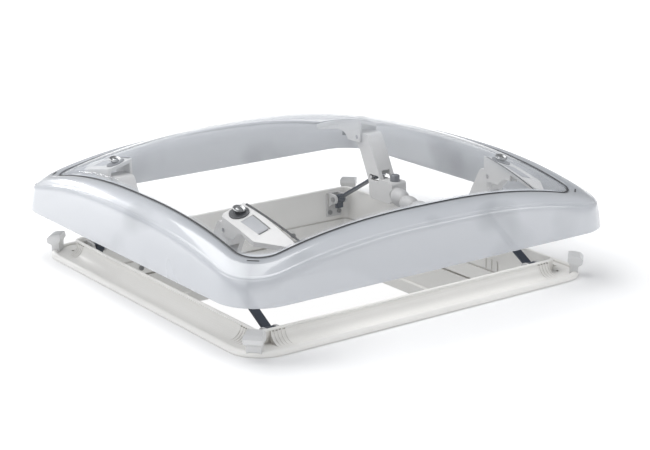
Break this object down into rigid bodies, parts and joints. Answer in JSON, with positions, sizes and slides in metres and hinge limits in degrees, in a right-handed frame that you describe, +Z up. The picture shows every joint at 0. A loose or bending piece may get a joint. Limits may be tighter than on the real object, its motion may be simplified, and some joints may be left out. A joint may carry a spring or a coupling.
{
  "type": "roof vent cover",
  "caption": "Raised roof vent: square flanged frame with skirt and ceiling frame, and a domed cover with a clear pane carried up and down on hinged stays.",
  "frame": {"origin": "centre of the roof opening, on the roof surface (the underside of the outer frame's flange)", "axes": "+Z up out of the roof; the link stays swing in planes square to X, so +Y and -Y are the sides they fold towards"},
  "size_m": [0.486, 0.486, 0.2495],
  "materials": {
    "frame_plastic": "fine moulded texture",
    "ceiling_plastic": "fine moulded texture",
    "post_plastic": "satin",
    "stay_plastic": "satin",
    "grip_plastic": "satin",
    "dome_frosted": "frosted",
    "dome_clear": "clear, glossy",
    "seal_rubber": "matt",
    "link_paint": "satin slate",
    "button_plastic": "satin",
    "pin_steel": "bright",
    "screw_steel": "zinc plated",
    "spring_steel": "bare"
  },
  "bodies": {
    "frame": {"outer_frame": "frame_plastic", "ceiling_frame": "ceiling_plastic", "upstand_trim": "frame_plastic", "corner_post_front_left": "post_plastic", "corner_post_front_right": "post_plastic", "corner_post_back_left": "post_plastic", "corner_post_back_right": "post_plastic", "link_clevis_front_left": "stay_plastic", "link_clevis_front_right": "stay_plastic", "link_clevis_back_left": "stay_plastic", "link_clevis_back_right": "stay_plastic", "clevis_pins": "pin_steel", "clevis_screws": "screw_steel", "clamp_screws": "screw_steel"},
    "dome": {"dome_surround": "dome_frosted", "dome_pane": "dome_clear", "pane_seal": "seal_rubber", "dome_bracket_front_left": "stay_plastic", "dome_bracket_front_right": "stay_plastic", "dome_bracket_back_left": "stay_plastic", "dome_bracket_back_right": "stay_plastic", "bracket_strips": "seal_rubber", "bracket_pads": "seal_rubber", "dome_screws": "screw_steel", "corner_bumpers": "seal_rubber", "arm_pins": "pin_steel", "arm_front_left": "stay_plastic", "arm_front_right": "stay_plastic", "arm_back_left": "stay_plastic", "arm_back_right": "stay_plastic", "grip_left": "grip_plastic", "grip_right": "grip_plastic", "spring_front_left": "spring_steel", "spring_front_right": "spring_steel", "spring_back_left": "spring_steel", "spring_back_right": "spring_steel"},
    "link_front_left": {"link_front_left": "link_paint", "elbow_pin_front_left": "pin_steel"},
    "link_front_right": {"link_front_right": "link_paint", "elbow_pin_front_right": "pin_steel"},
    "link_back_left": {"link_back_left": "link_paint", "elbow_pin_back_left": "pin_steel"},
    "link_back_right": {"link_back_right": "link_paint", "elbow_pin_back_right": "pin_steel"},
    "button_front_left": {"button_front_left": "button_plastic"},
    "button_front_right": {"button_front_right": "button_plastic"},
    "button_back_left": {"button_back_left": "button_plastic"},
    "button_back_right": {"button_back_right": "button_plastic"}
  },
  "joints": [
    {"name": "dome_lift", "type": "slide", "parent": "frame", "child": "dome", "axis": [0, 0, 1], "range_m": [-0.055, 0]},
    {"name": "link_front_left_pivot", "type": "hinge", "parent": "frame", "child": "link_front_left", "pos_m": [-0.173, -0.18, 0.0085], "axis": [1, 0, 0], "range_deg": [-34.6, 0]},
    {"name": "link_front_right_pivot", "type": "hinge", "parent": "frame", "child": "link_front_right", "pos_m": [0.173, -0.18, 0.0085], "axis": [1, 0, 0], "range_deg": [-34.6, 0]},
    {"name": "link_back_left_pivot", "type": "hinge", "parent": "frame", "child": "link_back_left", "pos_m": [-0.173, 0.18, 0.0085], "axis": [-1, 0, 0], "range_deg": [-34.6, 0]},
    {"name": "link_back_right_pivot", "type": "hinge", "parent": "frame", "child": "link_back_right", "pos_m": [0.173, 0.18, 0.0085], "axis": [-1, 0, 0], "range_deg": [-34.6, 0]},
    {"name": "button_front_left_press", "type": "slide", "parent": "dome", "child": "button_front_left", "axis": [0, 0, -1], "range_m": [0, 0.004], "stiffness_N_per_m": 400, "springref_m": -0.003, "deforming": ["spring_front_left"]},
    {"name": "button_front_right_press", "type": "slide", "parent": "dome", "child": "button_front_right", "axis": [0, 0, -1], "range_m": [0, 0.004], "stiffness_N_per_m": 400, "springref_m": -0.003, "deforming": ["spring_front_right"]},
    {"name": "button_back_left_press", "type": "slide", "parent": "dome", "child": "button_back_left", "axis": [0, 0, -1], "range_m": [0, 0.004], "stiffness_N_per_m": 400, "springref_m": -0.003, "deforming": ["spring_back_left"]},
    {"name": "button_back_right_press", "type": "slide", "parent": "dome", "child": "button_back_right", "axis": [0, 0, -1], "range_m": [0, 0.004], "stiffness_N_per_m": 400, "springref_m": -0.003, "deforming": ["spring_back_right"]}
  ],
  "couplings": [
    {"joint": "link_front_left_pivot", "follows": "dome_lift", "rad_per_m": 10.957},
    {"joint": "link_front_right_pivot", "follows": "dome_lift", "rad_per_m": 10.957},
    {"joint": "link_back_left_pivot", "follows": "dome_lift", "rad_per_m": 10.957},
    {"joint": "link_back_right_pivot", "follows": "dome_lift", "rad_per_m": 10.957}
  ]
}
